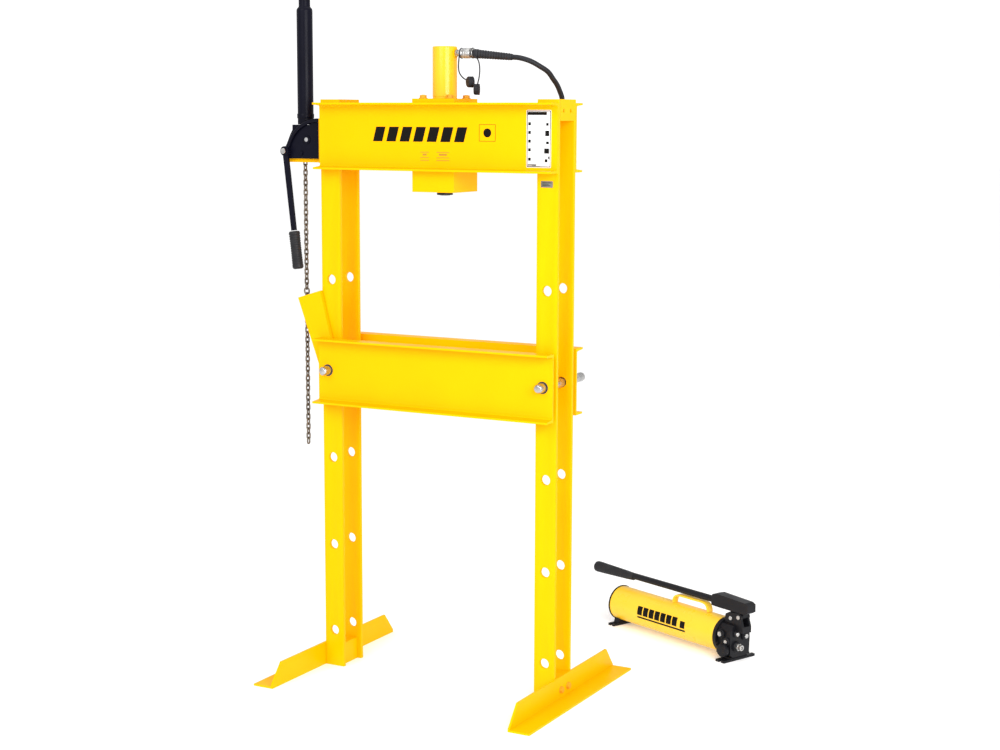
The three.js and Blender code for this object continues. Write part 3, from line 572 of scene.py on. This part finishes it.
while z < -268:
    w = 17.4 - 0.6 * math.sin((z + 362) / 94 * math.pi)
    grip += [(w, z), (w, z + 5.0), (w - 1.0, z + 5.8), (w - 1.0, z + 6.8), (w, z + 7.6)]
    z += 7.6
grip += [(17.8, -262), (17.6, -257), (15.5, -253.2), (11, -252.1), (0, -252.1)]
LEAN = Matrix.Rotation(rad(-6.6), 4, "Y")
obj_of("lever_grip_sleeve", *lathe(grip, 40), GRIP, "hoist_lever", T(-553, 0, 1640) @ LEAN @ T(0, -42, 0), 30, reps=("hoist_lever_grip",), slot="black_rubber")


def link(length, width, wire, n=40, sides=12):
    """One chain link standing in x and z, centred at the origin."""
    R, h = (width - wire) / 2, (length - width) / 2
    pts = []
    for i in range(n):
        a = 2 * math.pi * i / n
        x, z = R * math.cos(a), R * math.sin(a)
        pts.append(Vector((x, 0, z + (h if math.sin(a) >= 0 else -h))))
    return sweep(pts, wire / 2, sides, closed=True)


LW, LWIRE, LP = 16.2, 4.8, 15.6
LL = LP + 2 * LWIRE
base = link(LL, LW, LWIRE)
zc, links, k = 1990 - LL / 2, [], 0
while zc - LL / 2 > 687.9:
    if abs(zc - 1202) < 7.8:
        big = link(LL, 22, 5.0)
        links.append(moved(big, T(-507, 0, zc) @ Matrix.Rotation(rad(90 * (k % 2)), 4, "Z")))
    else:
        links.append(moved(base, T(-507, 0, zc) @ Matrix.Rotation(rad(90 * (k % 2) + 3 * math.sin(k * 1.7)), 4, "Z")))
    zc -= LP
    k += 1
obj_of("hoist_chain_links", *joined(*links), CHAIN, "chain", I4, 60, reps=("hoist_chain",), slot="chain_steel")

# ---------------------------------------------------------------- markings on the beam, all generic
YW = -64.3
def flat(name, x0, x1, z0, z1, t, mat, r=1.5, y=YW, holes=()):
    loops = [rounded(x0, x1, z0, z1, r)] + list(holes)
    return plate(name, loops, t, 0.04, front(y - t / 2, t), mat, "frame", slot="black_paint" if mat in (INK, BLK) else "frame_yellow")

stripes = []
x0, x1, z0, z1 = -215, 139, 1674, 1718
pitch, wid, lean = 47.2, 33.0, 12.0
xs = x0
while xs + wid + lean <= x1 + 6:
    q = [(xs, z0), (min(xs + wid, x1), z0), (min(xs + wid + lean, x1), z1), (min(xs + lean, x1), z1)]
    stripes.append(prism(q, YW - 0.5, YW - 0.02, "xz"))
    xs += pitch
obj_of("beam_stripe_marking", *joined(*stripes), INK, "frame", I4, 30, slot="black_paint")
flat("beam_square_outline", 153, 208, 1677, 1727, 0.3, INK, 2, holes=[rounded(154.2, 206.8, 1678.2, 1725.8, 1.5)])
plate("beam_disc_marking", [circle(180.5, 1702, 13)], 0.5, 0.04, front(YW - 0.25, 0.5), INK, "frame", slot="black_paint")
for nm, xa, xb in (("a", -48, -18), ("b", 8, 52)):
    rows = [prism(rounded(xa, xb, zz, zz + 2.2, 0.6, 2), YW - 0.3, YW - 0.02, "xz") for zz in (1618, 1626, 1642)]
    rows.append(prism(rounded(xa + 8, xb - 8, 1633, 1639, 0.6, 2), YW - 0.3, YW - 0.02, "xz"))
    obj_of(f"beam_faint_marking_{nm}", *joined(*rows), OLIVE, "frame", I4, 30, slot="frame_yellow")

# instruction label: white sheet, thin dark border, plain blocks and lines instead of text
flat("instruction_label", 310, 390, 1603, 1769, 0.4, PAPER, 2.5)
bar_parts = []
def ink(a, b, c, d):
    bar_parts.append(prism([(a, c), (b, c), (b, d), (a, d)], YW - 0.55, YW - 0.39, "xz"))
for a, b, c, d in ((311.6, 388.4, 1764.9, 1767.2), (311.6, 388.4, 1604.8, 1607.1), (311.6, 313.8, 1604.8, 1767.2), (386.2, 388.4, 1604.8, 1767.2)):
    ink(a, b, c, d)
ink(314.5, 376, 1754.5, 1763.5)
for i, zz in enumerate((1726, 1701, 1676, 1651, 1624)):
    ink(316, 324.5, zz - 1, zz + 8)
ink(315, 342, 1609, 1612.5)
for zz, xx, w, h in ((1724, 374, 8, 8), (1694, 371, 13, 16), (1671, 374, 9, 8), (1644, 368, 16, 15), (1619, 370, 9, 9), (1628, 381, 4, 8)):
    ink(xx, xx + w, zz, zz + h)
obj_of("label_print_dark", *joined(*bar_parts), INK, "frame", I4, 30, slot="black_paint")
bar_parts = []
for zz in (1740, 1715, 1690, 1665, 1640, 1616):
    for q in range(3):
        ink(328, 364 - 5 * q, zz - 4.2 * q, zz - 4.2 * q + 1.3)
ink(366, 384, 1751, 1752.2)
ink(318, 380, 1748, 1749)
obj_of("label_print_grey", *joined(*bar_parts), GREYINK, "frame", I4, 30, slot="frame_yellow")
# name plate on the right upright: bare alloy with plain lines
plate("name_plate", [rounded(355, 394, 1546, 1565, 1.5)], 0.8, 0.1, front(-58 - 0.45, 0.8), PLATE, "frame", slot="bright_zinc")
rows = [prism([(a, zz), (b, zz), (b, zz + 1.4), (a, zz + 1.4)], -59.15, -58.8, "xz") for zz, a, b in ((1559.5, 360, 389), (1555.2, 360, 380), (1551, 360, 386))]
obj_of("name_plate_lines", *joined(*rows), INK, "frame", I4, 30, slot="black_paint")

# ---------------------------------------------------------------- hand pump
RES_R, AXZ = 58, 71
PB = "pump_body"
res = [(53.9, 39.4), (57.2, 39.4), (58, 40.2), (58, 533.8), (57.2, 534.6), (53.9, 534.6), (53.9, 39.4)]
obj_of("reservoir_tube", *lathe(res, 112), PYEL, PB, PUMP @ T(0, 0, AXZ) @ AXX, 30, reps=("pump_reservoir",), slot="pump_yellow")
rc = [(0, 28.2), (30, 28.6), (42, 29.8), (52, 31.6), (58.6, 33.4), (60.4, 35.2), (60.6, 37.4), (60.2, 39.0), (53.4, 39.1), (53.4, 46), (0, 46)]
obj_of("reservoir_rear_cap", *lathe(rc, 96), CAST, PB, PUMP @ T(0, 0, AXZ) @ AXX, 30, reps=("pump_rear_cap",), slot="black_paint")
tie = moved(joined(hexv(19, 0, 6, 1.0)), T(28.4, 0, AXZ) @ AXX @ Matrix.Rotation(rad(180), 4, "X"))
obj_of("rear_cap_nut", *tie, ZINC, PB, PUMP, 30, slot="bright_zinc")
# carry strap: a flat arch with rounded bends
arch = [(302, 129.6), (303, 138), (307, 147), (315, 154), (327, 157.6), (342, 158.5), (392, 158.5), (440, 158.5), (452, 156), (460, 149), (464, 140), (465, 129.6)]
sp, _ = spline([(a, 0, b) for a, b in arch], 72)
V, F = [], []
for i, p in enumerate(sp):
    t = (sp[min(i + 1, 71)] - sp[max(i - 1, 0)]).normalized()
    nrm = Vector((-t.z, 0, t.x))
    for (a, b) in ((-12, -2.6), (-9.5, -3.6), (9.5, -3.6), (12, -2.6), (12, 2.6), (9.5, 3.6), (-9.5, 3.6), (-12, 2.6)):
        V.append(tuple(p + nrm * b + Vector((0, a, 0))))
for i in range(71):
    for k in range(8):
        j = (k + 1) % 8
        F.append((i * 8 + k, i * 8 + j, i * 8 + 8 + j, i * 8 + 8 + k))
F += [tuple(range(8))[::-1], tuple(range(71 * 8, 72 * 8))]
strap = (V, F)
obj_of("carry_strap_arch", *strap, PYEL, PB, PUMP, 40, reps=("pump_carry_strap",), slot="pump_yellow")


def wrap(s0, s1, a0, a1, r0, r1, n=40):
    """A thin curved patch round the reservoir, from angle a0 to a1 above the horizontal on the front side."""
    V, F = [], []
    for i in range(n + 1):
        a = rad(a0 + (a1 - a0) * i / n)
        for r in (r0, r1):
            for s in (s0, s1):
                V.append((s, -r * math.cos(a), AXZ + r * math.sin(a)))
    for i in range(n):
        b, c = i * 4, i * 4 + 4
        F += [(b, b + 1, c + 1, c), (b + 3, b + 2, c + 2, c + 3), (b + 1, b + 3, c + 3, c + 1), (b + 2, b, c, c + 2)]
    F += [(0, 2, 3, 1), (4 * n, 4 * n + 1, 4 * n + 3, 4 * n + 2)]
    return V, F


parts = []
s = 178.0
while s < 372:
    parts.append(wrap(s, s + 23, -3, 27, 58.02, 58.3))
    s += 28
parts.append(wrap(178, 408, -14, -8, 58.02, 58.3))
parts.append(wrap(384, 406, -3, 20, 58.02, 58.3))
obj_of("reservoir_marking", *joined(*parts), INK, PB, PUMP, 40, slot="black_paint")

# head: flange bolts, ports, relief valve, fittings
dets = []
for i in range(6):
    a = rad(60 * i + 20)
    dets.append(moved(hexv(10, 0, 5, 0.8), T(549.2, 50.5 * math.cos(a), AXZ + 50.5 * math.sin(a)) @ AXX))
obj_of("head_flange_bolts", *joined(*dets), CAST, PB, PUMP, 30, slot="black_paint")
YB = Matrix.Rotation(rad(90), 4, "X")  # z to -y
body = []
body.append(moved(lathe([(0, 40), (15, 40), (15, 52), (13.6, 53.4), (0, 53.6)], 36), T(566, 0, 88) @ YB))
body.append(moved(lathe([(0, 40), (13, 40), (13, 50), (12, 51.2), (0, 51.4)], 36), T(590, 0, 66) @ YB))
body.append(moved(lathe([(0, 588), (17, 588), (17, 611), (15.4, 612.8), (0, 613)], 40), T(0, -18, 48) @ AXX))
body.append(moved(lathe([(0, 588), (14, 588), (14, 609), (12.8, 610.4), (0, 610.6)], 40), T(0, 20, 78) @ AXX))
body.append(moved(lathe([(0, 588), (12, 588), (12, 608), (11, 609.2), (0, 609.4)], 36), T(0, -20, 90) @ AXX))
obj_of("head_bosses", *joined(*body), CAST, PB, PUMP, 32, slot="black_paint")
fit = []
fit.append(moved(joined(hexv(15, 53.4, 58, 0.8), lathe([(0, 58), (4.5, 58), (4.5, 60), (0, 60.2)], 24)), T(566, 0, 88) @ YB))
fit.append(moved(hexv(12, 51.2, 55, 0.8), T(590, 0, 66) @ YB))
fit.append(moved(joined(hexv(22, 612.8, 620, 1.2), lathe([(0, 619.6), (9, 619.6), (9.4, 620.2), (9.4, 630), (8.6, 631), (5.2, 631), (5.2, 624), (0, 624)], 36)), T(0, -18, 48) @ AXX))
fit.append(moved(joined(hexv(14, 610.4, 616, 0.9)), T(0, 20, 78) @ AXX))
fit.append(moved(joined(hexv(13, 609.2, 614, 0.9)), T(0, -20, 90) @ AXX))
obj_of("head_fittings", *joined(*fit), ZINC, PB, PUMP, 30, slot="bright_zinc")
pin = lathe([(0, -24), (6.2, -24), (7, -23.2), (7, -21), (6.6, -20.6), (5, -20.5), (5, 23.2), (4.2, 24), (0, 24)], 36)
obj_of("handle_pivot_pin", *moved(pin, AXY), ZINC, PB, PUMP @ T(615, 0, 147), 30, reps=("pump_pivot_pin",), slot="bright_zinc")
pin2 = lathe([(0, -22.8), (6.2, -22.8), (6.8, -22), (6.8, -20.5), (0, -20.5)], 32)
obj_of("plunger_pin_head", *moved(pin2, AXY), ZINC, PB, PUMP @ T(580, 0, 138), 30, slot="bright_zinc")
# release knob with finger flutes
V, F = [], []
seg, prof = 72, [(0, -68), (14, -68), (18.5, -67.4), (21, -65.6), (21.8, -63), (21.8, -54), (20.4, -50.6), (16, -49.2), (5, -49), (5, -22), (0, -22)]
rings = []
for r, z in prof:
    if r == 0:
        rings.append([len(V)])
        V.append((0, 0, z))
    else:
        b = len(V)
        rings.append(list(range(b, b + seg)))
        for i in range(seg):
            a = 2 * math.pi * i / seg
            q = r - (1.3 * max(0.0, math.cos(9 * a)) ** 2 if r > 15 else 0)
            V.append((q * math.cos(a), q * math.sin(a), z))
for a, b in zip(rings, rings[1:]):
    for i in range(seg):
        j = (i + 1) % seg
        if len(a) == 1:
            F.append((a[0], b[i], b[j]))
        elif len(b) == 1:
            F.append((a[i], a[j], b[0]))
        else:
            F.append((a[i], a[j], b[j], b[i]))
obj_of("release_knob_fluted", *moved((V, F), AXY), CAST, "pump_release_knob", PUMP @ T(584, 0, 38), 30, reps=("pump_release_knob",), slot="black_paint")
gp = [(0, -94), (12, -94), (15.6, -92.6), (18, -90), (18.9, -86)]
x = -82.0
while x < 60:
    w = 18.9 - (x + 82) / 142 * 4.2
    gp += [(w, x), (w, x + 6.2), (w - 0.8, x + 7.0), (w - 0.8, x + 8.0), (w, x + 8.8)]
    x += 8.8
gp += [(14.0, 74), (13.2, 92), (12.8, 98.6), (11.6, 100.3), (0, 100.3)]
obj_of("pump_handle_grip_sleeve", *lathe(gp, 44), GRIP, "pump_handle", PUMP @ T(0, 0, 174.5) @ AXX, 30, reps=("pump_handle_grip",), slot="black_rubber")

# ---------------------------------------------------------------- floor and light
fm, nt, b = new_mat("floor_paper")
nt.links.new(ramp(nt, noise(nt, 1.2, 3), 0.3, 0.7, (0.93, 0.93, 0.935), (0.95, 0.95, 0.95)), b.inputs["Base Color"])
b.inputs["Roughness"].default_value = 0.9
b.inputs["Specular IOR Level"].default_value = 0.1
b.inputs["Emission Color"].default_value = (1, 1, 1, 1)
b.inputs["Emission Strength"].default_value = 0.14
me = bpy.data.meshes.new("floor")
me.from_pydata([(-30, -20, 0), (30, -20, 0), (30, 60, 0), (-30, 60, 0)], [], [(0, 1, 2, 3)])
floor = bpy.data.objects.new("floor", me)
bpy.context.scene.collection.objects.link(floor)
me.materials.append(fm)

world = bpy.data.worlds.new("studio")
bpy.context.scene.world = world
world.use_nodes = True
world.node_tree.nodes["Background"].inputs["Color"].default_value = (1, 1, 1, 1)
bg = world.node_tree.nodes["Background"]
bg.inputs["Strength"].default_value = 0.78
seen = N(world.node_tree, "ShaderNodeBackground", Strength=1.15)
seen.inputs["Color"].default_value = (1, 1, 1, 1)
lp = N(world.node_tree, "ShaderNodeLightPath")
mx = N(world.node_tree, "ShaderNodeMixShader")
world.node_tree.links.new(lp.outputs["Is Camera Ray"], mx.inputs[0])
world.node_tree.links.new(bg.outputs[0], mx.inputs[1])
world.node_tree.links.new(seen.outputs[0], mx.inputs[2])
world.node_tree.links.new(mx.outputs[0], world.node_tree.nodes["World Output"].inputs["Surface"])


def area(name, pos, target, size, power, color=(1, 1, 1)):
    li = bpy.data.lights.new(name, "AREA")
    li.shape, li.size, li.size_y, li.energy, li.color = "RECTANGLE", size[0], size[1], power, color
    lo = bpy.data.objects.new(name, li)
    bpy.context.scene.collection.objects.link(lo)
    lo.location = pos
    lo.rotation_euler = (Vector(target) - Vector(pos)).to_track_quat("-Z", "Y").to_euler()
    return lo


area("key_front", P(0, -3600, 2000), P(0, 0, 900), (2.4, 2.4), 6)
area("fill_right", P(3400, -2600, 2300), P(0, 0, 1100), (2.6, 2.6), 145)
area("top", P(0, 200, 4600), P(0, 0, 600), (3.0, 3.0), 30)
sun = bpy.data.lights.new("soft_sun", "SUN")
sun.energy, sun.angle = 1.05, rad(40)
suno = bpy.data.objects.new("soft_sun", sun)
bpy.context.scene.collection.objects.link(suno)
suno.rotation_euler = Vector((0.12, 1.0, -0.58)).to_track_quat("-Z", "Y").to_euler()

vs = bpy.context.scene.view_settings
vs.view_transform = "Standard"
vs.look = "None"
vs.exposure = 0.0
vs.gamma = 1.0
